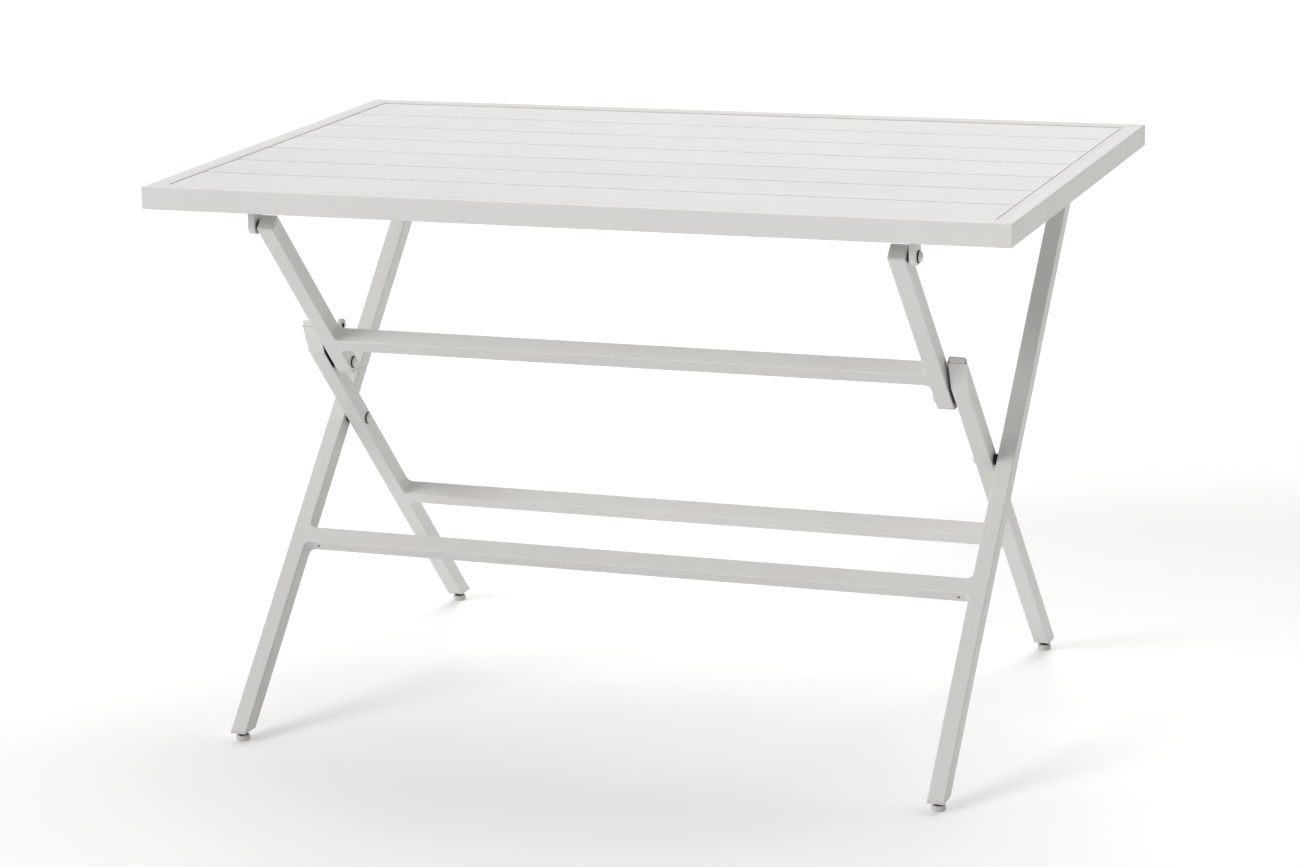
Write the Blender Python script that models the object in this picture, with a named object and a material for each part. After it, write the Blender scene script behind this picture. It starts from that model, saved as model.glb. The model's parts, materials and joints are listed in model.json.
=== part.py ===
"""Folding picnic table: a slatted aluminium top on two crossed leg frames and a pair of knee arms.

Metres. +X runs along the table, +Y from the front edge to the rear edge, +Z up.
The origin is on the ground, under the middle of the top.

The two leg frames, the knee arms and the top form a four-bar linkage in the YZ plane. It is built
here with the table open, when the knee arms and the rear-foot legs lie on one straight line.
"""
import math

import bmesh
import bpy
from mathutils import Matrix, Vector

# ---------------------------------------------------------------- driving dimensions
TABLE_LENGTH = 1.100
TABLE_DEPTH = 0.700
TABLE_HEIGHT = 0.712

RAIL_WIDTH = 0.025
RAIL_HEIGHT = 0.028
RAIL_WALL = 0.0016

SLAT_COUNT = 7
SLAT_GAP = 0.004
SLAT_END_GAP = 0.0015
SLAT_DROP = 0.001
SLAT_THICKNESS = 0.012
SLAT_WALL = 0.0010
SLAT_CELLS = 3

SUPPORT_X = 0.275
SUPPORT_WIDTH = 0.020
SUPPORT_HEIGHT = 0.0116

TUBE = 0.022
TUBE_WALL = 0.0016
EDGE_RADIUS = 0.0016

# Pivot axes run along X; each is given by its Y and Z with the table open.
REAR_PIVOT = Vector((0.306, 0.659))
SCISSOR_PIVOT = Vector((-0.008, 0.344))
FRONT_PIVOT = Vector((-0.299, 0.659))

# Middle planes of the three tubes that lie side by side at each end of the table.
FRONT_FOOT_LEG_X = 0.457
REAR_FOOT_LEG_X = 0.429
KNEE_ARM_X = 0.403

# Distances along each tube, measured from a pivot.
FRONT_STRETCHER_BELOW_SCISSOR = 0.186
REAR_STRETCHER_BELOW_SCISSOR = 0.183
ARM_STRETCHER_BELOW_FRONT_PIVOT = 0.243
LEG_TOP_BEYOND_REAR_PIVOT = 0.009
ARM_TOP_BEYOND_FRONT_PIVOT = 0.0065
REAR_LEG_TOP_BEYOND_KNEE = 0.070
REAR_LEG_TAPER_START = 0.032
REAR_LEG_TAPER_DEPTH = 0.0150
ARM_END_BELOW_KNEE = 0.0122

LEG_BOTTOM_Z = 0.0148
PLUG_FLANGE = 0.0022
FOOT_PLUG_DEPTH = 0.012
ARM_PLUG_DEPTH = 0.006
PLUG_BLOCK_SIDE = 0.0182
TOP_PLUG_DEPTH = 0.0030
TAPERED_PLUG_FLANGE = 0.0070
TAPERED_PLUG_DEPTH = 0.0460

BRACKET_THICKNESS = 0.0085
BRACKET_HALF_WIDTH = 0.012
BRACKET_BOTTOM_DROP = 0.0095
BRACKET_CORNER_RADIUS = 0.0075
SPACER_THICKNESS = 0.0029
SPACER_RADIUS = 0.0072
HEAD_WASHER_SPACE = 0.0013

RIVET_RADIUS = 0.0031
BORE_RADIUS = 0.0034
HEAD_RADIUS = 0.0066
HEAD_HEIGHT = 0.0040
RIVET_TAIL = 0.0022

GLIDE_RADIUS = 0.0088
GLIDE_HEIGHT = 0.0088
GLIDE_RIBS = 16
GLIDE_RIB_DEPTH = 0.0005
STUD_RADIUS = 0.0026
STUD_BORE_RADIUS = 0.00285
STUD_TOP_Z = 0.0185
STUD_BORE_TOP_Z = 0.0219

LUG_THICKNESS = 0.005
LUG_RADIUS = 0.0085
LUG_REACH = 0.0190
LUG_FROM_ARM_MIDDLE = 0.0055

TOUCH = 0.0003
ROUND_SEGMENTS = 16
CORNER_SEGMENTS = 2
CUTTER_OVERRUN = 0.004

# ---------------------------------------------------------------- derived linkage
RAIL_BOTTOM_Z = TABLE_HEIGHT - RAIL_HEIGHT
REST_SPAN = (SCISSOR_PIVOT - FRONT_PIVOT).length
TOP_LINK = (REAR_PIVOT - FRONT_PIVOT).length
LEG_LINK = (REAR_PIVOT - SCISSOR_PIVOT).length
# All four pivots fall on one line again when the table is shut, which fixes the arm's length.
ARM_LINK = (REST_SPAN + TOP_LINK - LEG_LINK) / 2
KNEE_PIVOT = FRONT_PIVOT + (SCISSOR_PIVOT - FRONT_PIVOT) / REST_SPAN * ARM_LINK
FRONT_LEG_UP = (REAR_PIVOT - SCISSOR_PIVOT).normalized()
REAR_LEG_UP = (FRONT_PIVOT - SCISSOR_PIVOT).normalized()

ORIGINS = {
    "tabletop": Vector((0, 0, 0)),
    "front_foot_frame": Vector((0, REAR_PIVOT.x, REAR_PIVOT.y)),
    "rear_foot_frame": Vector((0, SCISSOR_PIVOT.x, SCISSOR_PIVOT.y)),
    "knee_arms": Vector((0, FRONT_PIVOT.x, FRONT_PIVOT.y)),
}
SIDES = {"left": -1, "right": 1}
DOWN = Vector((0, 0, -1))
LEG_BOTTOM_CUT = (Vector((0, 0, LEG_BOTTOM_Z)), DOWN)


# ---------------------------------------------------------------- materials
def make_material(name, colour, roughness, metallic=0.0):
    material = bpy.data.materials.new(name)
    material.use_nodes = True
    shader = material.node_tree.nodes["Principled BSDF"]
    shader.inputs["Base Color"].default_value = (*colour, 1.0)
    shader.inputs["Roughness"].default_value = roughness
    shader.inputs["Metallic"].default_value = metallic
    return material


FINISHES = {
    "frame_coat": ((0.78, 0.78, 0.76), 0.42, 0.0),
    "slat_coat": ((0.82, 0.82, 0.80), 0.45, 0.0),
    "rivet_coat": ((0.76, 0.76, 0.73), 0.36, 0.0),
    "end_plug": ((0.72, 0.72, 0.69), 0.52, 0.0),
    "black_plastic": ((0.015, 0.015, 0.015), 0.45, 0.0),
    "glide_plastic": ((0.66, 0.66, 0.62), 0.50, 0.0),
}


# ---------------------------------------------------------------- mesh helpers
def rounded_rectangle(width, height, radius, segments=CORNER_SEGMENTS):
    """Corner points of a rectangle centred on the origin, anticlockwise, each corner an arc."""
    points = []
    for quarter, (sx, sy) in enumerate(((1, 1), (-1, 1), (-1, -1), (1, -1))):
        cx = sx * (width / 2 - radius)
        cy = sy * (height / 2 - radius)
        for step in range(segments + 1):
            angle = (quarter + step / segments) * math.pi / 2
            points.append((cx + radius * math.cos(angle), cy + radius * math.sin(angle)))
    return points


def circle(radius, centre=(0.0, 0.0), segments=ROUND_SEGMENTS):
    turn = 2 * math.pi / segments
    return [
        (centre[0] + radius * math.cos(i * turn), centre[1] + radius * math.sin(i * turn))
        for i in range(segments)
    ]


def prism(loops, length):
    """A straight bar along +Z with the first loop as its outline and the others as through holes."""
    bm = bmesh.new()
    edges = []
    for loop in loops:
        verts = [bm.verts.new((x, y, 0)) for x, y in loop]
        edges += [bm.edges.new((a, b)) for a, b in zip(verts, verts[1:] + verts[:1])]
    bmesh.ops.triangle_fill(bm, edges=edges, use_beauty=True, normal=(0, 0, -1))
    grown = bmesh.ops.extrude_face_region(bm, geom=bm.faces[:])
    top = [v for v in grown["geom"] if isinstance(v, bmesh.types.BMVert)]
    bmesh.ops.translate(bm, verts=top, vec=(0, 0, length))
    bmesh.ops.recalc_face_normals(bm, faces=bm.faces[:])
    return bm


def loft(rings, joined=False):
    """Skin from ring to ring of points. A joined loft closes on itself; another is capped at both ends."""
    bm = bmesh.new()
    loops = [[bm.verts.new(p) for p in ring] for ring in rings]
    pairs = list(zip(loops, loops[1:]))
    if joined:
        pairs.append((loops[-1], loops[0]))
    for a, b in pairs:
        for i in range(len(a)):
            j = (i + 1) % len(a)
            bm.faces.new((a[i], a[j], b[j], b[i]))
    if not joined:
        bm.faces.new(list(reversed(loops[0])))
        bm.faces.new(loops[-1])
    bmesh.ops.recalc_face_normals(bm, faces=bm.faces[:])
    return bm


def turned(profile, segments=ROUND_SEGMENTS, joined=False):
    """A round piece on the Z axis from (radius, height) points."""
    rings = [[(x, y, z) for x, y in circle(r, segments=segments)] for r, z in profile]
    return loft(rings, joined)


def cut(bm, point, normal):
    """Slice off everything on the side that the normal points to, and close the cut."""
    geometry = bm.verts[:] + bm.edges[:] + bm.faces[:]
    done = bmesh.ops.bisect_plane(
        bm, geom=geometry, plane_co=point, plane_no=normal, clear_outer=True, dist=1e-7
    )
    edges = [e for e in done["geom_cut"] if isinstance(e, bmesh.types.BMEdge)]
    bmesh.ops.triangle_fill(bm, edges=edges, use_beauty=True, normal=normal)
    bmesh.ops.recalc_face_normals(bm, faces=bm.faces[:])


def axis_frame(origin, along):
    """Turns a bar built along +Z so that it points along a direction in the YZ plane, X unchanged."""
    up = Vector((0, along.x, along.y)).normalized()
    across = Vector((1, 0, 0))
    back = up.cross(across)
    rotation = Matrix((across, back, up)).transposed().to_4x4()
    return Matrix.Translation(origin) @ rotation


def point_on(pivot, direction, distance, x=0.0):
    flat = pivot + direction * distance
    return Vector((x, flat.x, flat.y))


def in_plane(direction):
    return Vector((0, direction.x, direction.y))


def turn_to_x(side, x):
    """Turns a piece built along +Z so that it points along +X on the right side, -X on the left."""
    return Matrix.Translation(x) @ Matrix.Rotation(side * math.pi / 2, 4, "Y")


# ---------------------------------------------------------------- scene helpers
def clear_scene():
    for item in list(bpy.data.objects):
        bpy.data.objects.remove(item, do_unlink=True)


def make_bodies():
    """One empty on the axis that each moving group turns about."""
    parents = {"rear_foot_frame": "front_foot_frame"}
    bodies = {}
    for name, origin in ORIGINS.items():
        empty = bpy.data.objects.new(name + "_axis", None)
        empty.empty_display_size = 0.05
        bpy.context.scene.collection.objects.link(empty)
        bodies[name] = empty
        base = Vector((0, 0, 0))
        if name != "tabletop":
            above = parents.get(name, "tabletop")
            empty.parent = bodies[above]
            base = ORIGINS[above]
        empty.location = origin - base
    return bodies


def add_node(name, bm, body, finish, smooth=False):
    """Turns a mesh built in world coordinates into a named object under its body's axis."""
    bmesh.ops.triangulate(bm, faces=[f for f in bm.faces if len(f.verts) > 4])
    bmesh.ops.recalc_face_normals(bm, faces=bm.faces[:])
    mesh = bpy.data.meshes.new(name)
    bm.to_mesh(mesh)
    bm.free()
    mesh.transform(Matrix.Translation(-ORIGINS[body]))
    mesh.materials.append(MATERIALS[finish])
    if smooth:
        mesh.shade_smooth()
        mesh.set_sharp_from_angle(angle=math.radians(35))
    item = bpy.data.objects.new(name, mesh)
    bpy.context.scene.collection.objects.link(item)
    item.parent = BODIES[body]
    return item


def subtract(item, body, bm):
    """Takes a closed mesh, built in world coordinates, out of a node for good."""
    cutter = add_node("cutter", bm, body, "black_plastic")
    modifier = item.modifiers.new("cut", "BOOLEAN")
    modifier.operation = "DIFFERENCE"
    modifier.solver = "EXACT"
    modifier.object = cutter
    evaluated = item.evaluated_get(bpy.context.evaluated_depsgraph_get())
    finished = bpy.data.meshes.new_from_object(evaluated)
    finished.name = item.name
    item.modifiers.clear()
    item.data = finished
    bpy.data.objects.remove(cutter, do_unlink=True)


def bore(item, body, pivot, x_low, x_high):
    """Drills a round hole along X, on a pivot axis, between two X values."""
    bm = prism([circle(BORE_RADIUS)], x_high - x_low)
    bm.transform(turn_to_x(1, Vector((x_low, pivot.x, pivot.y))))
    subtract(item, body, bm)


def bore_through(item, body, pivot, tube_x):
    reach = TUBE / 2 + CUTTER_OVERRUN
    bore(item, body, pivot, tube_x - reach, tube_x + reach)


def bore_one_wall(item, body, pivot, tube_x, towards):
    """Drills only the tube wall that faces the given way along X."""
    near = tube_x + towards * (TUBE / 2 - TUBE_WALL - CUTTER_OVERRUN)
    far = tube_x + towards * (TUBE / 2 + CUTTER_OVERRUN)
    bore(item, body, pivot, min(near, far), max(near, far))


# ---------------------------------------------------------------- table top
def make_rail(name, length, centre, turn):
    """A hollow rail with both ends mitred at 45 degrees, its long face outwards."""
    outer = rounded_rectangle(RAIL_WIDTH, RAIL_HEIGHT, EDGE_RADIUS)
    inner = rounded_rectangle(RAIL_WIDTH - 2 * RAIL_WALL, RAIL_HEIGHT - 2 * RAIL_WALL, 0.0004, 1)
    bm = prism([outer, inner], length)
    # Before it is laid down the bar stands on Z, with its outer face towards -X.
    for vert in bm.verts:
        inset = vert.co.x + RAIL_WIDTH / 2 + TOUCH / 2
        vert.co.z += inset if vert.co.z < length / 2 else -inset
    lay = Matrix(((0, 0, 1), (1, 0, 0), (0, 1, 0))).to_4x4()
    bm.transform(Matrix.Translation((-length / 2, 0, 0)) @ lay)
    bm.transform(Matrix.Translation(centre) @ Matrix.Rotation(turn, 4, "Z"))
    return add_node(name, bm, "tabletop", "frame_coat")


def make_rails():
    z = TABLE_HEIGHT - RAIL_HEIGHT / 2
    out_x = (TABLE_LENGTH - RAIL_WIDTH) / 2
    out_y = (TABLE_DEPTH - RAIL_WIDTH) / 2
    make_rail("rail_front", TABLE_LENGTH, (0, -out_y, z), 0)
    make_rail("rail_rear", TABLE_LENGTH, (0, out_y, z), math.pi)
    make_rail("rail_left", TABLE_DEPTH, (-out_x, 0, z), -math.pi / 2)
    make_rail("rail_right", TABLE_DEPTH, (out_x, 0, z), math.pi / 2)


def make_slats():
    """Hollow planks along the table, with webs inside, all a little lower than the rails."""
    clear_depth = TABLE_DEPTH - 2 * RAIL_WIDTH
    width = (clear_depth - (SLAT_COUNT + 1) * SLAT_GAP) / SLAT_COUNT
    length = TABLE_LENGTH - 2 * RAIL_WIDTH - 2 * SLAT_END_GAP
    z = TABLE_HEIGHT - SLAT_DROP - SLAT_THICKNESS / 2
    cell = (width - (SLAT_CELLS + 1) * SLAT_WALL) / SLAT_CELLS
    loops = [rounded_rectangle(SLAT_THICKNESS, width, EDGE_RADIUS)]
    for i in range(SLAT_CELLS):
        middle = -width / 2 + SLAT_WALL + cell / 2 + i * (cell + SLAT_WALL)
        half_z = SLAT_THICKNESS / 2 - SLAT_WALL
        low = middle - cell / 2
        high = middle + cell / 2
        loops.append([(-half_z, low), (half_z, low), (half_z, high), (-half_z, high)])
    for i in range(SLAT_COUNT):
        y = -clear_depth / 2 + SLAT_GAP + width / 2 + i * (width + SLAT_GAP)
        bm = prism(loops, length)
        bm.transform(Matrix.Translation((-length / 2, y, z)) @ Matrix.Rotation(math.pi / 2, 4, "Y"))
        add_node("slat_%d" % (i + 1), bm, "tabletop", "slat_coat")


def make_supports():
    """Cross bars under the slats, from the front rail to the rear rail."""
    length = TABLE_DEPTH - 2 * RAIL_WIDTH - 2 * TOUCH
    top = TABLE_HEIGHT - SLAT_DROP - SLAT_THICKNESS - TOUCH
    outer = rounded_rectangle(SUPPORT_WIDTH, SUPPORT_HEIGHT, EDGE_RADIUS)
    inner = rounded_rectangle(
        SUPPORT_WIDTH - 2 * TUBE_WALL, SUPPORT_HEIGHT - 2 * TUBE_WALL, 0.0004, 1
    )
    for side_name, side in SIDES.items():
        bm = prism([outer, inner], length)
        place = Matrix.Translation((side * SUPPORT_X, length / 2, top - SUPPORT_HEIGHT / 2))
        bm.transform(place @ Matrix.Rotation(math.pi / 2, 4, "X"))
        add_node("slat_support_" + side_name, bm, "tabletop", "frame_coat")


def bracket_outline(pivot, towards):
    """Side view of a bracket that hooks on a rail's inner face and hangs down past the pivot."""
    radius = BRACKET_CORNER_RADIUS
    top = TABLE_HEIGHT - SLAT_DROP - SLAT_THICKNESS - 2 * TOUCH
    wall = towards * (TABLE_DEPTH / 2 - RAIL_WIDTH - TOUCH)
    near = pivot.x + towards * BRACKET_HALF_WIDTH
    far = pivot.x - towards * BRACKET_HALF_WIDTH
    bottom = pivot.y - BRACKET_BOTTOM_DROP
    points = [(wall, top), (wall, RAIL_BOTTOM_Z), (near, RAIL_BOTTOM_Z)]
    for corner, start in ((near, 0), (far, 1)):
        sign = towards if corner == near else -towards
        for step in range(5):
            angle = (step / 4 if start == 0 else 1 - step / 4) * math.pi / 2
            y = corner - sign * radius + sign * radius * math.cos(angle)
            points.append((y, bottom + radius - radius * math.sin(angle)))
    points.append((far, top))
    return points


def make_brackets():
    """One lug beside the top end of each tube that is hinged to the top, on its outer side."""
    for end, pivot, towards, tube_x in (
        ("front", FRONT_PIVOT, -1, KNEE_ARM_X),
        ("rear", REAR_PIVOT, 1, FRONT_FOOT_LEG_X),
    ):
        outline = bracket_outline(pivot, towards)
        hole = circle(BORE_RADIUS, pivot)
        inner_face = tube_x + TUBE / 2 + SPACER_THICKNESS + 2 * TOUCH
        for side_name, side in SIDES.items():
            bm = prism([outline, hole], BRACKET_THICKNESS)
            x = inner_face if side > 0 else -inner_face - BRACKET_THICKNESS
            # The outline's first number is Y and its second is Z.
            lay = Matrix(((0, 0, 1), (1, 0, 0), (0, 1, 0))).to_4x4()
            bm.transform(Matrix.Translation((x, 0, 0)) @ lay)
            add_node("bracket_%s_%s" % (end, side_name), bm, "tabletop", "frame_coat")


# ---------------------------------------------------------------- tubes of the folding frame
def make_tube(name, body, x, pivot, up, low, high, cuts):
    """A square tube along a direction in the YZ plane, trimmed by planes at its ends."""
    outer = rounded_rectangle(TUBE, TUBE, EDGE_RADIUS)
    inner = rounded_rectangle(TUBE - 2 * TUBE_WALL, TUBE - 2 * TUBE_WALL, 0.0004, 1)
    bm = prism([outer, inner], high - low)
    bm.transform(axis_frame(point_on(pivot, up, low, x), up))
    for point, normal in cuts:
        cut(bm, point, normal)
    return add_node(name, bm, body, "frame_coat")


def make_level_plug(name, body, x, pivot, up, tube_end_z, depth):
    """Closes a tube's level lower end with a flange and a block that leans with the tube."""
    lean = up.x / up.y
    slant = 1 / up.y
    flange_top = tube_end_z - TOUCH
    levels = (
        (flange_top - PLUG_FLANGE, TUBE),
        (flange_top, TUBE),
        (flange_top, PLUG_BLOCK_SIDE),
        (tube_end_z + depth, PLUG_BLOCK_SIDE),
    )
    rings = []
    for z, side in levels:
        y = pivot.x + (z - pivot.y) * lean
        outline = rounded_rectangle(side, side * slant, EDGE_RADIUS)
        rings.append([(x + a, y + b, z) for a, b in outline])
    return add_node(name, loft(rings), body, "end_plug")


def make_foot_plug(name, body, x, pivot, up):
    """The plug at a leg's foot, with a hole up the middle for the glide's stud."""
    plug = make_level_plug(name, body, x, pivot, up, LEG_BOTTOM_Z, FOOT_PLUG_DEPTH)
    below = LEG_BOTTOM_Z - TOUCH - PLUG_FLANGE - CUTTER_OVERRUN
    hole = prism([circle(STUD_BORE_RADIUS)], STUD_BORE_TOP_Z - below)
    hole.transform(Matrix.Translation(glide_centre(x, pivot, up, below)))
    subtract(plug, body, hole)


def glide_centre(x, pivot, up, z):
    """The glide stands under the middle of the plug's flange, on a vertical line."""
    flange = LEG_BOTTOM_Z - PLUG_FLANGE
    return Vector((x, pivot.x + (flange - pivot.y) * up.x / up.y, z))


def make_end_plug(name, body, x, pivot, up, distance, sizes=(PLUG_FLANGE, TOP_PLUG_DEPTH), cuts=()):
    """Closes a tube's upper end with a flange and a block inside the tube."""
    flange, depth = sizes
    levels = (
        (distance + TOUCH + flange, TUBE),
        (distance + TOUCH, TUBE),
        (distance + TOUCH, PLUG_BLOCK_SIDE),
        (distance - depth, PLUG_BLOCK_SIDE),
    )
    rings = [[(a, b, z) for a, b in rounded_rectangle(s, s, EDGE_RADIUS)] for z, s in levels]
    bm = loft(rings)
    bm.transform(axis_frame(point_on(pivot, up, 0, x), up))
    for point, normal in cuts:
        cut(bm, point, normal)
    add_node(name, bm, body, "end_plug")


def make_stretcher(name, body, leg_x, pivot, up, distance):
    """A square tube across the table between a frame's two side tubes, flush with them."""
    length = 2 * (leg_x - TUBE / 2 - TOUCH)
    outer = rounded_rectangle(TUBE, TUBE, EDGE_RADIUS)
    inner = rounded_rectangle(TUBE - 2 * TUBE_WALL, TUBE - 2 * TUBE_WALL, 0.0004, 1)
    bm = prism([outer, inner], length)
    bm.transform(Matrix.Translation((0, 0, -length / 2)))
    bm.transform(Matrix.Rotation(math.pi / 2, 4, "Y"))
    # Square the section up with the side tubes, then carry it to its place along them.
    bm.transform(axis_frame(point_on(pivot, up, distance), up))
    add_node(name, bm, body, "frame_coat")


def make_front_foot_frame():
    """The outer frame: hinged under the rear edge, it stands on the front feet."""
    body = "front_foot_frame"
    up = FRONT_LEG_UP
    top = LEG_LINK + LEG_TOP_BEYOND_REAR_PIVOT
    low = -(SCISSOR_PIVOT.y - LEG_BOTTOM_Z) / up.y - TUBE
    for side_name, side in SIDES.items():
        x = side * FRONT_FOOT_LEG_X
        name = "front_foot_leg_" + side_name
        leg = make_tube(name, body, x, SCISSOR_PIVOT, up, low, top, [LEG_BOTTOM_CUT])
        bore_one_wall(leg, body, REAR_PIVOT, x, side)
        bore_one_wall(leg, body, SCISSOR_PIVOT, x, -side)
        make_foot_plug("foot_plug_front_" + side_name, body, x, SCISSOR_PIVOT, up)
        make_end_plug("leg_top_plug_" + side_name, body, x, SCISSOR_PIVOT, up, top)
    distance = -FRONT_STRETCHER_BELOW_SCISSOR
    make_stretcher("front_foot_stretcher", body, FRONT_FOOT_LEG_X, SCISSOR_PIVOT, up, distance)


def slope_between(start, end):
    """The plane through two points of the YZ plane, facing forwards off a run from low to high."""
    run = (end - start).normalized()
    return Vector((0, start.x, start.y)), Vector((0, -run.y, run.x))


def rear_leg_slopes(top):
    """The taper of the rear-foot leg's upper end, and the upright face of the cap above it."""
    up = REAR_LEG_UP
    forward = Vector((-up.y, up.x))
    start = SCISSOR_PIVOT + up * (REST_SPAN - ARM_LINK + REAR_LEG_TAPER_START)
    start += forward * (TUBE / 2)
    crease = SCISSOR_PIVOT + up * top + forward * (TUBE / 2 - REAR_LEG_TAPER_DEPTH)
    tip = SCISSOR_PIVOT + up * (top + TAPERED_PLUG_FLANGE) - forward * (TUBE / 2)
    return slope_between(start, crease), slope_between(crease, tip)


def make_rear_foot_frame():
    """The middle frame: crossed with the outer one, from the knee down to the rear feet."""
    body = "rear_foot_frame"
    up = REAR_LEG_UP
    top = REST_SPAN - ARM_LINK + REAR_LEG_TOP_BEYOND_KNEE
    low = -(SCISSOR_PIVOT.y - LEG_BOTTOM_Z) / up.y - TUBE
    taper, cap_face = rear_leg_slopes(top)
    for side_name, side in SIDES.items():
        x = side * REAR_FOOT_LEG_X
        name = "rear_foot_leg_" + side_name
        leg = make_tube(name, body, x, SCISSOR_PIVOT, up, low, top, [LEG_BOTTOM_CUT, taper])
        bore_through(leg, body, SCISSOR_PIVOT, x)
        make_foot_plug("foot_plug_rear_" + side_name, body, x, SCISSOR_PIVOT, up)
        name = "rear_leg_top_plug_" + side_name
        sizes = (TAPERED_PLUG_FLANGE, TAPERED_PLUG_DEPTH)
        make_end_plug(name, body, x, SCISSOR_PIVOT, up, top, sizes, [taper, cap_face])
    distance = -REAR_STRETCHER_BELOW_SCISSOR
    make_stretcher("rear_foot_stretcher", body, REAR_FOOT_LEG_X, SCISSOR_PIVOT, up, distance)


def make_knee_arms():
    """The inner frame: from the front brackets down to the knee."""
    body = "knee_arms"
    up = REAR_LEG_UP
    low_z = KNEE_PIVOT.y - ARM_END_BELOW_KNEE
    top = ARM_TOP_BEYOND_FRONT_PIVOT
    low = -(FRONT_PIVOT.y - low_z) / up.y - TUBE
    level = (Vector((0, 0, low_z)), DOWN)
    for side_name, side in SIDES.items():
        x = side * KNEE_ARM_X
        arm = make_tube("knee_arm_" + side_name, body, x, FRONT_PIVOT, up, low, top, [level])
        bore_through(arm, body, KNEE_PIVOT, x)
        bore_one_wall(arm, body, FRONT_PIVOT, x, side)
        make_end_plug("arm_top_plug_" + side_name, body, x, FRONT_PIVOT, up, top)
        name = "arm_lower_plug_" + side_name
        make_level_plug(name, body, x, FRONT_PIVOT, up, low_z, ARM_PLUG_DEPTH)
        make_catch_lug("catch_lug_" + side_name, body, side)
    distance = -ARM_STRETCHER_BELOW_FRONT_PIVOT
    make_stretcher("arm_stretcher", body, KNEE_ARM_X, FRONT_PIVOT, up, distance)


def make_catch_lug(name, body, side):
    """A round-ended plate that stands up from an arm's back face, level with the stretcher."""
    outline = [(-LUG_RADIUS, 0), (LUG_RADIUS, 0)]
    for step in range(ROUND_SEGMENTS // 2 + 1):
        angle = 2 * math.pi * step / ROUND_SEGMENTS
        along = LUG_RADIUS * math.cos(angle)
        outline.append((along, LUG_REACH - LUG_RADIUS + LUG_RADIUS * math.sin(angle)))
    bm = prism([outline], LUG_THICKNESS)
    bm.transform(Matrix.Translation((0, 0, -LUG_THICKNESS / 2)))
    # The outline's first number is along the arm, its second away from the arm's back face.
    up = in_plane(REAR_LEG_UP)
    back = Vector((0, REAR_LEG_UP.y, -REAR_LEG_UP.x))
    frame = Matrix((up, back, Vector((-1, 0, 0)))).transposed().to_4x4()
    centre = point_on(FRONT_PIVOT, REAR_LEG_UP, -ARM_STRETCHER_BELOW_FRONT_PIVOT)
    centre += back * (TUBE / 2 + TOUCH)
    centre.x = side * (KNEE_ARM_X - LUG_FROM_ARM_MIDDLE)
    bm.transform(Matrix.Translation(centre) @ frame)
    add_node(name, bm, body, "frame_coat")


# ---------------------------------------------------------------- pivots
def rivet_profile(shank):
    """(radius, height) points: the shank's end is at 0 and the domed head is on top."""
    head = shank + HEAD_HEIGHT
    return [
        (RIVET_RADIUS * 0.8, 0),
        (RIVET_RADIUS, 0.0006),
        (RIVET_RADIUS, shank),
        (HEAD_RADIUS, shank),
        (HEAD_RADIUS, shank + HEAD_HEIGHT * 0.35),
        (HEAD_RADIUS * 0.86, shank + HEAD_HEIGHT * 0.74),
        (HEAD_RADIUS * 0.52, head - HEAD_HEIGHT * 0.06),
        (HEAD_RADIUS * 0.2, head),
    ]


def make_rivet(name, body, pivot, tail_x, head_x):
    """tail_x is where the shank ends and head_x where the head's flat underside is."""
    shank = abs(head_x - tail_x)
    bm = turned(rivet_profile(shank))
    towards = 1 if head_x > tail_x else -1
    bm.transform(turn_to_x(towards, Vector((tail_x, pivot.x, pivot.y))))
    add_node(name, bm, body, "rivet_coat", smooth=True)


def make_spacer(name, body, pivot, x, thickness, radius):
    """A ring centred at x on a pivot axis."""
    profile = [
        (BORE_RADIUS, -thickness / 2),
        (radius, -thickness / 2),
        (radius, thickness / 2),
        (BORE_RADIUS, thickness / 2),
    ]
    bm = turned(profile, joined=True)
    bm.transform(turn_to_x(1, Vector((x, pivot.x, pivot.y))))
    add_node(name, bm, body, "black_plastic", smooth=True)


def make_pivots():
    half = TUBE / 2
    for side_name, side in SIDES.items():
        for end, pivot, tube_x in (
            ("front", FRONT_PIVOT, KNEE_ARM_X),
            ("rear", REAR_PIVOT, FRONT_FOOT_LEG_X),
        ):
            face = tube_x + half
            spacer_x = face + TOUCH + SPACER_THICKNESS / 2
            head = face + 2 * TOUCH + SPACER_THICKNESS + BRACKET_THICKNESS + HEAD_WASHER_SPACE
            tail = face - TUBE_WALL - RIVET_TAIL
            label = "%s_%s" % (end, side_name)
            make_rivet("rivet_" + label, "tabletop", pivot, side * tail, side * head)
            name = "spacer_" + label
            make_spacer(name, "tabletop", pivot, side * spacer_x, SPACER_THICKNESS, SPACER_RADIUS)

        inner = REAR_FOOT_LEG_X - half - HEAD_WASHER_SPACE
        outer = FRONT_FOOT_LEG_X - half + TUBE_WALL + RIVET_TAIL
        body = "rear_foot_frame"
        make_rivet("rivet_scissor_" + side_name, body, SCISSOR_PIVOT, side * outer, side * inner)
        gap = FRONT_FOOT_LEG_X - REAR_FOOT_LEG_X - TUBE
        middle = REAR_FOOT_LEG_X + half + gap / 2
        name = "spacer_scissor_" + side_name
        make_spacer(name, body, SCISSOR_PIVOT, side * middle, gap - 2 * TOUCH, SPACER_RADIUS)

        gap = REAR_FOOT_LEG_X - KNEE_ARM_X - TUBE
        inner = KNEE_ARM_X - half - HEAD_WASHER_SPACE
        outer = KNEE_ARM_X + half + gap - 2 * TOUCH
        body = "knee_arms"
        make_rivet("rivet_knee_" + side_name, body, KNEE_PIVOT, side * outer, side * inner)
        middle = KNEE_ARM_X + half + gap / 2
        name = "spacer_knee_" + side_name
        make_spacer(name, body, KNEE_PIVOT, side * middle, gap - 2 * TOUCH, SPACER_RADIUS)


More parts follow.
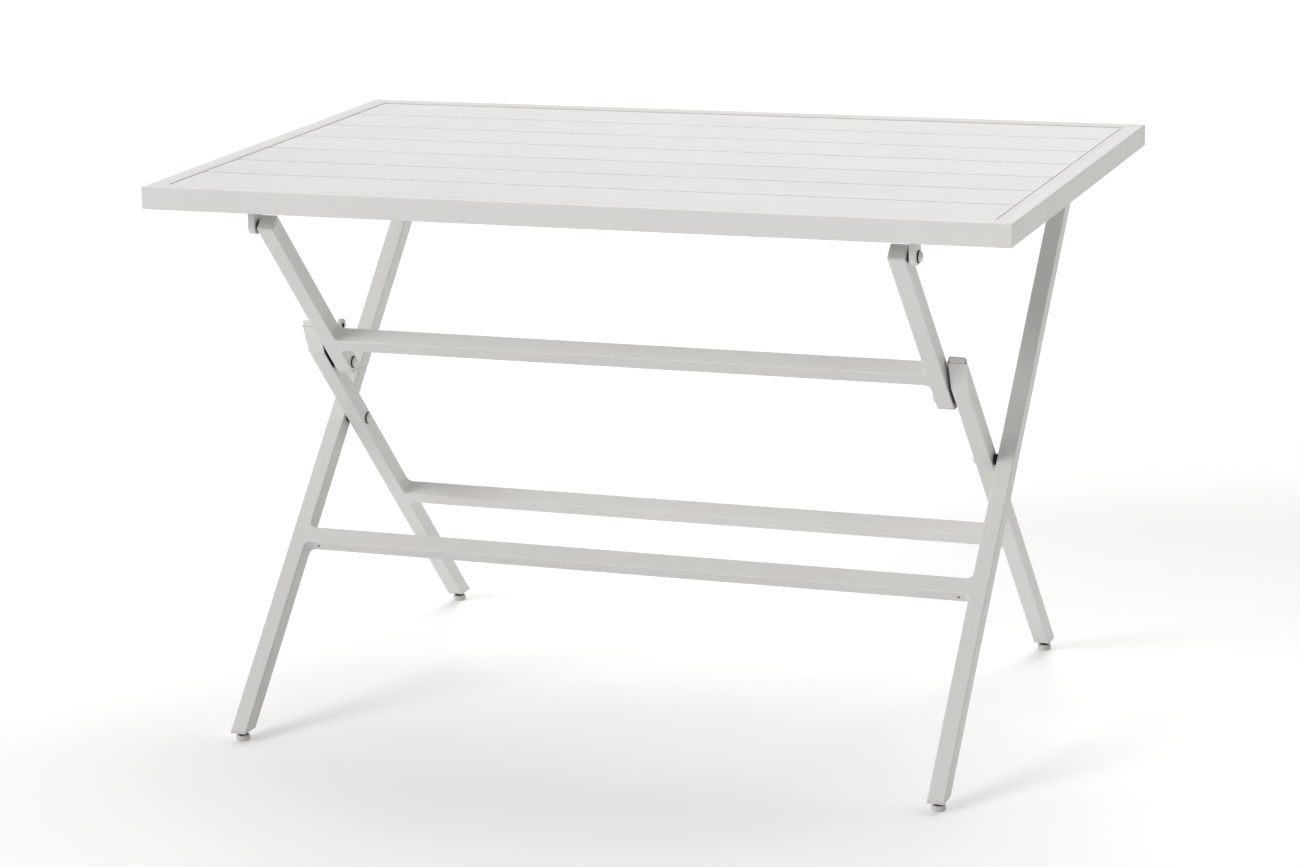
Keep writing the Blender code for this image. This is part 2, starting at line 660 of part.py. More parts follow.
# ---------------------------------------------------------------- feet
def glide_rings():
    """The ribbed foot and its stud, turned on a vertical axis from the ground up."""
    steps = 2 * GLIDE_RIBS
    levels = [
        (GLIDE_RADIUS - 0.0016, 0, 0.0),
        (GLIDE_RADIUS - 0.0004, 0.0010, 0.4),
        (GLIDE_RADIUS, 0.0022, 1.0),
        (GLIDE_RADIUS, GLIDE_HEIGHT - 0.0020, 1.0),
        (GLIDE_RADIUS - 0.0004, GLIDE_HEIGHT - 0.0010, 0.4),
        (GLIDE_RADIUS - 0.0016, GLIDE_HEIGHT, 0.0),
        (STUD_RADIUS, GLIDE_HEIGHT, 0.0),
        (STUD_RADIUS, STUD_TOP_Z - 0.0006, 0.0),
        (STUD_RADIUS - 0.0006, STUD_TOP_Z, 0.0),
    ]
    rings = []
    for radius, z, ribbed in levels:
        ring = []
        for i in range(steps):
            r = radius - (GLIDE_RIB_DEPTH * ribbed if i % 2 else 0)
            angle = 2 * math.pi * i / steps
            ring.append((r * math.cos(angle), r * math.sin(angle), z))
        rings.append(ring)
    return rings


def make_glides():
    """Screw-in levelling feet, each free to travel along its stud."""
    for end, leg_x, up in (
        ("front", FRONT_FOOT_LEG_X, FRONT_LEG_UP),
        ("rear", REAR_FOOT_LEG_X, REAR_LEG_UP),
    ):
        for side_name, side in SIDES.items():
            bm = loft(glide_rings())
            bm.transform(Matrix.Translation(glide_centre(side * leg_x, SCISSOR_PIVOT, up, 0)))
            body = "front_foot_frame" if end == "front" else "rear_foot_frame"
            add_node("glide_%s_%s" % (end, side_name), bm, body, "glide_plastic", smooth=True)


clear_scene()
MATERIALS = {name: make_material(name, *finish) for name, finish in FINISHES.items()}
BODIES = make_bodies()
make_rails()
make_slats()
make_supports()
make_brackets()
make_front_foot_frame()
make_rear_foot_frame()
make_knee_arms()
make_pivots()
make_glides()
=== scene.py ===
"""Looks of the folding slatted table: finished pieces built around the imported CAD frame."""
import json
import math
import bmesh
import bpy
from mathutils import Matrix, Vector


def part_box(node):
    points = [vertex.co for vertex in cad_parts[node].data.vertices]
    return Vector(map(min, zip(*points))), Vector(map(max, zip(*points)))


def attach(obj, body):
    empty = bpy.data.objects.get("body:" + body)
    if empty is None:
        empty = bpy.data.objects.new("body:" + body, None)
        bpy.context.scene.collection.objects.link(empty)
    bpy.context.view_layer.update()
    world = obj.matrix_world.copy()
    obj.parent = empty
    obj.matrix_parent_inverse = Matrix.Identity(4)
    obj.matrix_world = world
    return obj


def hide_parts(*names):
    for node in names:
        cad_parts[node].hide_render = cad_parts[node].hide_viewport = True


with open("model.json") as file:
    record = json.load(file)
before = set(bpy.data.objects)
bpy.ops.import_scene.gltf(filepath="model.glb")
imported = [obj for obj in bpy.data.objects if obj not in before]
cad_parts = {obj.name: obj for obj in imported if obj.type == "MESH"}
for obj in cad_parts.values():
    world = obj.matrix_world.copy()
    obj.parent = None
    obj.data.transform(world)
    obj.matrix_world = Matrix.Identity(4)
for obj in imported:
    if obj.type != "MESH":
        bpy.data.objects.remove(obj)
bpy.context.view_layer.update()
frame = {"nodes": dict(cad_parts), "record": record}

# ------------------------------------------------------------------ places, read from the frame
JOINTS = {joint["name"]: joint for joint in frame["record"]["behaviour"]["joints"]}
SIDES = {"left": -1, "right": 1}
ACROSS = Vector((1, 0, 0))


def pivot(joint):
    _, y, z = JOINTS[joint]["pos_m"]
    return Vector((y, z))


def box_centre(node):
    low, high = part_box(node)
    return (Vector(low) + Vector(high)) / 2


def box_size(node):
    low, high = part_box(node)
    return Vector(high) - Vector(low)


def lowest(node):
    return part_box(node)[0]


def highest(node):
    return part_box(node)[1]


REAR_PIVOT = pivot("rear_top_hinge")
SCISSOR_PIVOT = pivot("leg_scissor")
FRONT_PIVOT = pivot("front_top_hinge")
KNEE_PIVOT = Vector(box_centre("spacer_knee_right")[1:])
FRONT_LEG_UP = (REAR_PIVOT - SCISSOR_PIVOT).normalized()
REAR_LEG_UP = (FRONT_PIVOT - SCISSOR_PIVOT).normalized()

TUBE = box_size("front_foot_leg_right").x
REAR_LEG_X = box_centre("rear_foot_leg_right").x
ARM_X = box_centre("knee_arm_right").x

# ------------------------------------------------------------------ sizes of the finish
# Roundings, and the hairline gap left between pieces that touch.
EDGE_RADIUS = 0.0017
RAIL_EDGE_RADIUS = 0.0017
SLAT_EDGE_RADIUS = 0.0007
PLATE_EDGE_RADIUS = 0.0008
RIM_SOFTENING = 0.0005
RIM_SEGMENTS = 3
ARC_STEPS = 5
ROUND_STEPS = 48
HAIRLINE = 0.00008

# Which edges count as sharp, which faces as one flat, and which blend into each other.
SHARP_EDGE = math.radians(40)
COPLANAR = math.radians(0.5)
SMOOTH_ANGLE = math.radians(32)
GLIDE_SMOOTH_ANGLE = math.radians(60)
FLAT_WIDTH = 0.003
OWN_WEIGHT = 1e-9
CUT_TOLERANCE = 1e-7

# Table top.
SLAT_COUNT = 7
MITRE_GAP = 0.00003
MITRE_SOFTENING = 0.0007
# Dark rods of painted shade down the open mitre lines at the top's corners.
SEAM_RADIUS = 0.0004
SEAM_DEPTH = 0.0002
SEAM_STEPS = 12
BRACKET_CORNER_RADIUS = 0.0085

# Welded frames.
WELD_RADIUS = 0.0075
CUT_MARGIN = 0.03
DRAIN_HOLE_RADIUS = 0.0017
DRAIN_HOLE_DEPTH = 0.009
DRAIN_HOLE_FROM_LEG = 0.015
TAPER_LENGTH = 0.038
TAPER_DEPTH = 0.015
TAPER_BEND_RADIUS = 0.022
TAPER_BEND_STEPS = 4
LUG_STEPS = 16
LUG_HOLE_RADIUS = 0.0033
LUG_HOLE_STEPS = 24

# Plugs and caps in the tube ends, the dark strip of painted shade in each cap seam, and the black
# sheets of painted shade in the gaps at the knees.
PLUG_FLANGE = 0.0022
CAP_TIP_RADIUS = 0.0016
CAP_SIDE_RADIUS = 0.0024
CAP_SEAM = 0.0008
CAP_SHADE_STRIP_INSET = 0.0002
KNEE_SHADE_THICKNESS = 0.0009
KNEE_SHADE_INSET = 0.0004
KNEE_SHADE_BELOW_PIVOT = 0.0010
KNEE_SHADE_HOLE_RADIUS = 0.0078
KNEE_SHADE_RIM_RADIUS = KNEE_SHADE_THICKNESS / 4
KNEE_SHADE_RIM_STEPS = 2

# Rivets and washers.
HEAD_RADIUS = 0.0066
HEAD_HEIGHT = 0.0040
HEAD_RIM_HEIGHT = 0.0011
HEAD_LIP = 0.0002
DOME_STEPS = 10
SHANK_RADIUS = 0.0031
SHANK_CHAMFER = 0.00062
WASHER_RADIUS = 0.0076
WASHER_LIP = 0.0003

# Levelling feet.
GLIDE_HEIGHT = 0.0073
GLIDE_RIBS = 16
GLIDE_RIB_DEPTH = 0.0008
GLIDE_STEPS = 168
# From a flat face to the side: inset, height and share of the ribs' depth.
GLIDE_RIM = (
    (0.0016, 0.0, 0.0),
    (0.0007, 0.0003, 0.2),
    (0.0002, 0.0009, 0.7),
    (0.0, 0.0018, 1.0),
)
STUD_RADIUS = 0.0026
STUD_BORE_RADIUS = 0.00285
STUD_BORE_TOP_Z = 0.0219
THREAD_PITCH = 0.0010
THREAD_DEPTH = 0.0004
THREAD_STEPS = 24
THREAD_RINGS_PER_TURN = 8
COLLAR_BORE_RADIUS = 0.00234
COLLAR_RADIUS = 0.0058
COLLAR_HEIGHT = 0.0016


# ------------------------------------------------------------------ materials
# A mix node's colour sockets share their names with its number sockets, so they go by place.
MIX_LOW = 6
MIX_HIGH = 7
MIX_RESULT = 2


def shader_nodes(name):
    material = bpy.data.materials.new(name)
    material.use_nodes = True
    tree = material.node_tree
    return material, tree, tree.nodes["Principled BSDF"]


def add(tree, kind, **values):
    """Adds a node; keys that name an input set it, the others set a property."""
    node = tree.nodes.new(kind)
    for key, value in values.items():
        if key in node.inputs:
            node.inputs[key].default_value = value
        else:
            setattr(node, key, value)
    return node


def noise(tree, where, scale, detail=2.0, roughness=0.5):
    """Cloudy noise, from about 0.3 to 0.7."""
    node = add(tree, "ShaderNodeTexNoise", Scale=scale, Detail=detail, Roughness=roughness)
    tree.links.new(where, node.inputs["Vector"])
    return node.outputs["Fac"]


def remap(tree, value, low=0.3, high=0.7, out_low=0.0, out_high=1.0):
    """Stretches a value's range from low and high to out_low and out_high."""
    node = add(tree, "ShaderNodeMapRange")
    for key, number in (
        ("From Min", low), ("From Max", high), ("To Min", out_low), ("To Max", out_high)
    ):
        node.inputs[key].default_value = number
    tree.links.new(value, node.inputs["Value"])
    return node.outputs["Result"]


def blend_colours(tree, factor, low, high):
    """A mix of two colours, each given as a tuple or as another node's output."""
    node = add(tree, "ShaderNodeMix", data_type="RGBA")
    tree.links.new(factor, node.inputs["Factor"])
    for socket, colour in ((node.inputs[MIX_LOW], low), (node.inputs[MIX_HIGH], high)):
        if isinstance(colour, tuple):
            socket.default_value = (*colour, 1.0)
        else:
            tree.links.new(colour, socket)
    return node.outputs[MIX_RESULT]


def shaded(colour, share):
    return tuple(channel * share for channel in colour)


def powder_coat(name, colour, wear_and_highlight, roughness):
    """Sprayed and baked powder: fine orange peel, slow changes of tone, and convex edges painted
    lighter, partly as wear from handling and partly as a painted highlight.
    """
    material, tree, shader = shader_nodes(name)
    where = add(tree, "ShaderNodeTexCoord").outputs["Object"]
    shader.inputs["Specular IOR Level"].default_value = 0.42

    tone = remap(tree, noise(tree, where, scale=5.0, detail=4.0))
    toned = blend_colours(tree, tone, shaded(colour, 0.965), colour)
    speckle = noise(tree, where, scale=700.0, detail=1.0)
    speck = remap(tree, speckle, low=0.72, high=0.80, out_high=0.35)
    specked = blend_colours(tree, speck, toned, shaded(colour, 0.90))
    # Lighter convex edges: part wear, part painted highlight.
    edge = add(tree, "ShaderNodeNewGeometry").outputs["Pointiness"]
    wear_and_edge_highlight = remap(tree, edge, low=0.53, high=0.62, out_high=0.5)
    final = blend_colours(tree, wear_and_edge_highlight, specked, wear_and_highlight)
    tree.links.new(final, shader.inputs["Base Color"])

    patches = noise(tree, where, scale=38.0, detail=3.0)
    sheen = remap(tree, patches, out_low=roughness - 0.05, out_high=roughness + 0.06)
    tree.links.new(sheen, shader.inputs["Roughness"])

    coarse = add(tree, "ShaderNodeBump", Strength=0.10, Distance=0.0003)
    tree.links.new(noise(tree, where, scale=520.0), coarse.inputs["Height"])
    fine = add(tree, "ShaderNodeBump", Strength=0.15, Distance=0.0001)
    tree.links.new(noise(tree, where, scale=1900.0), fine.inputs["Height"])
    tree.links.new(coarse.outputs["Normal"], fine.inputs["Normal"])
    tree.links.new(fine.outputs["Normal"], shader.inputs["Normal"])
    return material


def moulded_plastic(name, colour, roughness):
    """Moulded plastic: eroded mould grain, a faint flow pattern, scuffed high spots."""
    material, tree, shader = shader_nodes(name)
    where = add(tree, "ShaderNodeTexCoord").outputs["Object"]
    shader.inputs["Specular IOR Level"].default_value = 0.4
    flow = remap(tree, noise(tree, where, scale=60.0, detail=5.0, roughness=0.6))
    flowed = blend_colours(tree, flow, shaded(colour, 0.90), colour)
    edge = add(tree, "ShaderNodeNewGeometry").outputs["Pointiness"]
    scuffed = remap(tree, edge, low=0.54, high=0.66, out_high=0.35)
    lighter = tuple(min(1.0, c * 1.15 + 0.02) for c in colour)
    tree.links.new(blend_colours(tree, scuffed, flowed, lighter), shader.inputs["Base Color"])
    patches = noise(tree, where, scale=300.0, detail=3.0)
    dull = remap(tree, patches, out_low=roughness - 0.08, out_high=roughness + 0.08)
    tree.links.new(dull, shader.inputs["Roughness"])
    bump = add(tree, "ShaderNodeBump", Strength=0.2, Distance=0.0001)
    tree.links.new(noise(tree, where, scale=2400.0, detail=3.0), bump.inputs["Height"])
    tree.links.new(bump.outputs["Normal"], shader.inputs["Normal"])
    return material


# The second colour of each coat is its lighter edge colour: wear and painted highlight.
MATERIALS = {
    "frame_coat": powder_coat("frame_coat", (0.700, 0.693, 0.676), (0.76, 0.755, 0.74), 0.42),
    "slat_coat": powder_coat("slat_coat", (0.722, 0.722, 0.708), (0.76, 0.76, 0.75), 0.46),
    "rivet_coat": powder_coat("rivet_coat", (0.71, 0.703, 0.685), (0.76, 0.755, 0.74), 0.36),
    "end_plug": moulded_plastic("end_plug", (0.70, 0.693, 0.672), 0.48),
    "black_plastic": moulded_plastic("black_plastic", (0.012, 0.012, 0.011), 0.42),
    "glide_plastic": moulded_plastic("glide_plastic", (0.66, 0.655, 0.625), 0.46),
}
# Dark olive paint: painted shade in the open seams at the mitres and under the tapered caps.
SEAM_SHADE_PAINT = moulded_plastic("painted_seam_shade", (0.20, 0.19, 0.155), 0.7)
# Near-black paint for the walls of cut holes: painted shade in the recess.
HOLE_SHADE_PAINT = moulded_plastic("painted_hole_shade", (0.004, 0.004, 0.004), 0.9)


# ------------------------------------------------------------------ mesh tools
def make_piece(name, bm, body, slot, nodes=(), smooth_angle=SMOOTH_ANGLE, cutters=(),
               material=None):
    """A piece built in world coordinates. It rides on a body and stands for the named CAD nodes."""
    bmesh.ops.recalc_face_normals(bm, faces=bm.faces[:])
    mesh = bpy.data.meshes.new(name)
    bm.to_mesh(mesh)
    bm.free()
    mesh.materials.append(material or MATERIALS[slot])
    piece = bpy.data.objects.new(name, mesh)
    bpy.context.scene.collection.objects.link(piece)
    for cutter in cutters:
        carve(piece, cutter)
    settle_normals(piece.data, smooth_angle)
    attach(piece, body)
    if nodes:
        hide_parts(*nodes)


def flat_areas(bm):
    """For each face of a flat area wider than any rounding: the normal of that area."""
    flats = {}
    seen = set()
    for start in bm.faces:
        if start.index in seen:
            continue
        seen.add(start.index)
        group = [start]
        for face in group:
            for edge in face.edges:
                for other in edge.link_faces:
                    level = face.normal.dot(other.normal) > math.cos(COPLANAR)
                    if level and other.index not in seen:
                        seen.add(other.index)
                        group.append(other)
        corners = [v.co for face in group for v in face.verts]
        extent = Vector([max(c[i] for c in corners) - min(c[i] for c in corners) for i in range(3)])
        if sum(face.calc_area() for face in group) > FLAT_WIDTH * extent.length:
            normal = max(group, key=lambda face: face.calc_area()).normal.copy()
            flats.update({face.index: normal for face in group})
    return flats


def corner_normal(loop, flats, closest):
    """The normal at one corner of a face: that of a flat it runs into, or a smooth average."""
    face = loop.face
    if face.index in flats:
        return flats[face.index]
    near = [f for f in loop.vert.link_faces if f.normal.dot(face.normal) > closest]
    beside = [flats[f.index] for f in near if f.index in flats]
    if beside:
        return max(beside, key=face.normal.dot)
    own = face.normal * OWN_WEIGHT
    return sum((f.normal * f.calc_area() for f in near), own).normalized()


def settle_normals(mesh, smooth_angle):
    """Flats shade flat, and the narrow roundings between them take up the whole turn."""
    bm = bmesh.new()
    bm.from_mesh(mesh)
    bm.faces.index_update()
    flats = flat_areas(bm)
    closest = math.cos(smooth_angle)
    normals = [corner_normal(loop, flats, closest) for face in bm.faces for loop in face.loops]
    bm.free()
    mesh.shade_smooth()
    mesh.normals_split_custom_set(normals)


def carve(piece, cutter_bm):
    """Takes a closed mesh out of a piece for good; the walls of the hole are painted near-black as
    shade.
    """
    mesh = bpy.data.meshes.new("cutter")
    bmesh.ops.recalc_face_normals(cutter_bm, faces=cutter_bm.faces[:])
    cutter_bm.to_mesh(mesh)
    mesh.materials.append(HOLE_SHADE_PAINT)
    cutter = bpy.data.objects.new("cutter", mesh)
    bpy.context.scene.collection.objects.link(cutter)
    if HOLE_SHADE_PAINT.name not in piece.data.materials:
        piece.data.materials.append(HOLE_SHADE_PAINT)
    modifier = piece.modifiers.new("hole", "BOOLEAN")
    modifier.operation = "DIFFERENCE"
    modifier.solver = "EXACT"
    modifier.material_mode = "TRANSFER"
    modifier.object = cutter
    evaluated = piece.evaluated_get(bpy.context.evaluated_depsgraph_get())
    carved = bpy.data.meshes.new_from_object(evaluated)
    carved.name = piece.name
    piece.modifiers.clear()
    piece.data = carved
    bpy.data.objects.remove(cutter, do_unlink=True)


def arc(centre, radius, start, end, steps=ARC_STEPS):
    """Points on an arc between two angles in degrees, both ends included."""
    points = []
    for i in range(steps + 1):
        angle = math.radians(start + (end - start) * i / steps)
        points.append((centre[0] + radius * math.cos(angle), centre[1] + radius * math.sin(angle)))
    return points


def circle(radius, steps=ROUND_STEPS):
    """Points on a circle about the origin."""
    return arc((0, 0), radius, 0, 360 * (steps - 1) / steps, steps - 1)


def rounded_rectangle(width, height, radius=EDGE_RADIUS):
    """An outline about the origin with round corners."""
    x = width / 2 - radius
    y = height / 2 - radius
    corners = (((x, y), 0), ((-x, y), 90), ((-x, -y), 180), ((x, -y), 270))
    return [point for centre, start in corners for point in arc(centre, radius, start, start + 90)]


def drawn_in(outline, inset):
    """An anticlockwise outline moved inwards by inset all round."""
    count = len(outline)
    moved = []
    for i, (x, y) in enumerate(outline):
        before = Vector((x, y)) - Vector(outline[i - 1])
        after = Vector(outline[(i + 1) % count]) - Vector((x, y))
        one = Vector((-before.y, before.x)).normalized()
        two = Vector((-after.y, after.x)).normalized()
        shift = (one + two) * (inset / (1 + one.dot(two)))
        moved.append((x + shift.x, y + shift.y))
    return moved


def skin(rings, joined=False):
    """Faces from ring to ring of points, closed at both ends or joined into a loop."""
    bm = bmesh.new()
    loops = [[bm.verts.new(point) for point in ring] for ring in rings]
    pairs = list(zip(loops, loops[1:]))
    if joined:
        pairs.append((loops[-1], loops[0]))
    for low, high in pairs:
        for i in range(len(low)):
            j = (i + 1) % len(low)
            bm.faces.new((low[i], low[j], high[j], high[i]))
    if not joined:
        bm.faces.new(list(reversed(loops[0])))
        bm.faces.new(loops[-1])
    return bm


def bar(section, low, high):
    """A straight bar along local Z."""
    return skin([[(x, y, z) for x, y in section] for z in (low, high)])


def slab(outline, low, high, radius=EDGE_RADIUS, steps=ARC_STEPS):
    """A flat plate along local Z between two heights, with a rounded rim."""
    rings = []
    turns = [math.pi / 2 * i / steps for i in range(steps + 1)]
    for turn in turns:
        ring = drawn_in(outline, radius * (1 - math.sin(turn)))
        rings.append([(x, y, low + radius * (1 - math.cos(turn))) for x, y in ring])
    for turn in reversed(turns):
        ring = drawn_in(outline, radius * (1 - math.sin(turn)))
        rings.append([(x, y, high - radius * (1 - math.cos(turn))) for x, y in ring])
    return skin(rings)


def turned(profile, joined=False):
    """A round piece about local Z from (radius, height) points."""
    return skin([[(x, y, z) for x, y in circle(r)] for r, z in profile], joined)


def slice_off(bm, point, normal):
    """Cuts away the side that the normal points to and closes the cut."""
    geometry = bm.verts[:] + bm.edges[:] + bm.faces[:]
    done = bmesh.ops.bisect_plane(
        bm, geom=geometry, plane_co=point, plane_no=normal, clear_outer=True, dist=CUT_TOLERANCE
    )
    rim = [e for e in done["geom_cut"] if isinstance(e, bmesh.types.BMEdge)]
    bmesh.ops.holes_fill(bm, edges=rim, sides=0)
    bmesh.ops.recalc_face_normals(bm, faces=bm.faces[:])
    return [e for e in rim if e.is_valid]


def soften(bm, edges, width=RIM_SOFTENING):
    """Rounds off some edges."""
    bmesh.ops.bevel(
        bm, geom=edges, offset=width, offset_type="OFFSET", segments=RIM_SEGMENTS, profile=0.5,
        affect="EDGES", clamp_overlap=True
    )


def soften_sharp(bm):
    """Rounds off every edge that a cut has left sharp."""
    soften(bm, [e for e in bm.edges if e.calc_face_angle(0) > SHARP_EDGE])


def filleted(corners):
    """An outline from (x, y, radius) corners, anticlockwise, each corner replaced by an arc."""
    points = []
    for i, (x, y, radius) in enumerate(corners):
        corner = Vector((x, y))
        if not radius:
            points.append((x, y))
            continue
        back = (Vector(corners[i - 1][:2]) - corner).normalized()
        on = (Vector(corners[(i + 1) % len(corners)][:2]) - corner).normalized()
        half = back.angle(on) / 2
        centre = corner + (back + on).normalized() * (radius / math.sin(half))
        first = corner + back * (radius / math.tan(half)) - centre
        sweep = (math.pi - 2 * half) * (1 if back.cross(on) < 0 else -1)
        for step in range(ARC_STEPS + 1):
            turn = Matrix.Rotation(sweep * step / ARC_STEPS, 2)
            points.append(tuple(centre + turn @ first))
    return points


def tube_directions(up):
    """The way along a leaning tube, and the way out of its front face."""
    along = Vector((0, up.x, up.y))
    return along, ACROSS.cross(along)


def turned_to(x_way, y_way, z_way):
    """A turn that sends the local axes to three directions."""
    return Matrix((x_way, y_way, z_way)).transposed().to_4x4()


def lying_along(pivot_point, up):
    """Local X across the table, local Y along a tube, local Z out of its front face."""
    along, front = tube_directions(up)
    place = Matrix.Translation((0, pivot_point.x, pivot_point.y))
    return place @ turned_to(ACROSS, along, front)


def facing_x(side, place):
    """Local Z points to the right on the right side and to the left on the left side."""
    return Matrix.Translation(place) @ Matrix.Rotation(side * math.pi / 2, 4, "Y")


def flat_point(pivot_point, up, distance, out=0.0):
    """A point in the plane X = 0, given along a tube and out of its front face."""
    along, front = tube_directions(up)
    return Vector((0, pivot_point.x, pivot_point.y)) + along * distance + front * out


def span_along(node, point, up):
    """Least and greatest distance of a CAD node's corners from a pivot, along a tube."""
    along, _ = tube_directions(up)
    start = Vector((0, point.x, point.y))
    distances = [(v.co - start).dot(along) for v in frame["nodes"][node].data.vertices]
    return min(distances), max(distances)


# ------------------------------------------------------------------ table top
# Turns a bar along Z so that it lies along X, with its section's X along Y and Y along Z.
LAID_ALONG_X = Matrix(((0, 0, 1), (1, 0, 0), (0, 1, 0))).to_4x4()


def make_rails():
    """Four mitred rails, each mitre eased only along its outer upright edge."""
    turns = {"front": 0, "right": 90, "rear": 180, "left": 270}
    for name, angle in turns.items():
        node = "rail_" + name
        size = box_size(node)
        length = max(size.x, size.y)
        width = min(size.x, size.y)
        section = rounded_rectangle(width, size.z, RAIL_EDGE_RADIUS)
        bm = bar(section, -length / 2, length / 2)
        bm.transform(LAID_ALONG_X)
        for end in (-1, 1):
            corner = Vector((end * (length / 2 - MITRE_GAP), -width / 2, 0))
            rim = slice_off(bm, corner, Vector((end, 1, 0)))
            outer = -width / 2 + RAIL_EDGE_RADIUS / 2
            soften(bm, [e for e in rim if max(v.co.y for v in e.verts) < outer], MITRE_SOFTENING)
        turn = Matrix.Rotation(math.radians(angle), 4, "Z")
        bm.transform(Matrix.Translation(box_centre(node)) @ turn)
        make_piece("top_" + node, bm, "tabletop", "frame_coat", [node])


def make_mitre_shade_rods():
    """A dark rod down the outer edge of each mitre: painted shade in the open line that is left
    there.
    """
    corner_x, corner_y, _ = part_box("rail_right")[1]
    low_z = lowest("rail_front").z + RAIL_EDGE_RADIUS
    high_z = highest("rail_front").z - RAIL_EDGE_RADIUS
    for end, y in (("front", -corner_y), ("rear", corner_y)):
        for side_name, side in SIDES.items():
            bm = bar(circle(SEAM_RADIUS, SEAM_STEPS), low_z, high_z)
            inset = SEAM_DEPTH + SEAM_RADIUS
            x = side * (corner_x - inset)
            bm.transform(Matrix.Translation((x, y - math.copysign(inset, y), 0)))
            name = "mitre_seam_%s_%s" % (end, side_name)
            # The seam paint stands for the shade in the open mitre line.
            make_piece(name, bm, "tabletop", "black_plastic", material=SEAM_SHADE_PAINT)


def make_slats():
    """Flat planks along the table with their ends and edges eased."""
    for i in range(1, SLAT_COUNT + 1):
        node = "slat_%d" % i
        size = box_size(node)
        section = rounded_rectangle(size.y, size.z, SLAT_EDGE_RADIUS)
        bm = bar(section, -size.x / 2, size.x / 2)
        soften_sharp(bm)
        bm.transform(Matrix.Translation(box_centre(node)) @ LAID_ALONG_X)
        make_piece("top_" + node, bm, "tabletop", "slat_coat", [node])


def make_supports():
    """Cross tubes under the slats."""
    for side_name in SIDES:
        node = "slat_support_" + side_name
        size = box_size(node)
        bm = bar(rounded_rectangle(size.x, size.z), -size.y / 2, size.y / 2)
        place = Matrix.Translation(box_centre(node))
        bm.transform(place @ Matrix.Rotation(math.pi / 2, 4, "X"))
        make_piece("under_" + node, bm, "tabletop", "frame_coat", [node])


def make_brackets():
    """A plate that hooks on a rail's inner face and carries a pivot in its round lower end."""
    for end, point, towards in (("front", FRONT_PIVOT, -1), ("rear", REAR_PIVOT, 1)):
        for side_name in SIDES:
            node = "bracket_%s_%s" % (end, side_name)
            low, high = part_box(node)
            wall = high.y if towards > 0 else low.y
            back = low.y if towards > 0 else high.y
            near = 2 * point.x - back
            step_z = lowest("rail_" + end).z - HAIRLINE
            corners = [
                (wall, high.z, 0),
                (wall, step_z, 0),
                (near, step_z, 0),
                (near, low.z, BRACKET_CORNER_RADIUS),
                (back, low.z, BRACKET_CORNER_RADIUS),
                (back, high.z, 0),
            ]
            if towards > 0:
                corners.reverse()
            bm = slab(filleted(corners), 0, high.x - low.x, PLATE_EDGE_RADIUS)
            bm.transform(Matrix.Translation((low.x, 0, 0)) @ LAID_ALONG_X)
            make_piece("hinge_" + node, bm, "tabletop", "frame_coat", [node])


# ------------------------------------------------------------------ folding frames
def ladder_outline(half_span, low, high, bar_middle):
    """Two uprights and a cross bar as one outline, with a weld radius in each inner corner."""
    outer = half_span + TUBE / 2
    inner = half_span - TUBE / 2
    under = bar_middle - TUBE / 2
    over = bar_middle + TUBE / 2
    r = WELD_RADIUS
    points = [(-outer, low), (-inner, low)]
    points += arc((-inner + r, under - r), r, 180, 90)
    points += arc((inner - r, under - r), r, 90, 0)
    points += [(inner, low), (outer, low), (outer, under - r), (outer, over + r)]
    points += [(outer, high), (inner, high)]
    points += arc((inner - r, over + r), r, 0, -90)
    points += arc((-inner + r, over + r), r, -90, -180)
    points += [(-inner, high), (-outer, high), (-outer, over + r), (-outer, under - r)]
    return points


def split_ladder(bm, outline):
    """Divides the two flat faces of a ladder where its bars meet, so that each bar cuts cleanly."""
    bm.verts.ensure_lookup_table()
    n = ARC_STEPS + 1
    low_left = 2
    low_right = low_left + n
    high_right = low_right + n + 6
    high_left = high_right + n
    cuts = (
        (low_left, high_left + n + 3),
        (high_left + n - 1, high_left + n + 2),
        (low_left + n - 1, high_left),
        (low_right, high_right + n - 1),
        (low_right + n - 1, low_right + n + 2),
        (high_right, low_right + n + 3),
    )
    for first in (0, len(bm.verts) - len(outline)):
        for one, two in cuts:
            one = bm.verts[first + one]
            two = bm.verts[first + two]
            shared = set(one.link_faces) & set(two.link_faces)
            bmesh.utils.face_split(shared.pop(), one, two)


def stud_bores(half_span, point, up, tube_end_z):
    """Cutters for the upright holes above the glides, from below each foot to above its stud."""
    holes = []
    for side in SIDES.values():
        place = foot_point(side * half_span, point, up, tube_end_z - PLUG_FLANGE)
        hole = bar(circle(STUD_BORE_RADIUS), 0, STUD_BORE_TOP_Z - place.z)
        hole.transform(Matrix.Translation(place))
        holes.append(hole)
    return holes


def foot_point(x, point, up, z):
    """Where a tube's axis meets a level."""
    return Vector((x, point.x + (z - point.y) * up.x / up.y, z))


def drain_holes(half_span, point, up, bar_middle):
    """Cutters for a small hole near each end of a stretcher's lower face."""
    holes = []
    for side in SIDES.values():
        x = side * (half_span - TUBE / 2 - DRAIN_HOLE_FROM_LEG)
        hole = bar(circle(DRAIN_HOLE_RADIUS), -DRAIN_HOLE_DEPTH / 2, DRAIN_HOLE_DEPTH / 2)
        hole.transform(Matrix.Rotation(math.pi / 2, 4, "X"))
        hole.transform(Matrix.Translation((x, bar_middle - TUBE / 2, 0)))
        hole.transform(lying_along(point, up))
        holes.append(hole)
    return holes


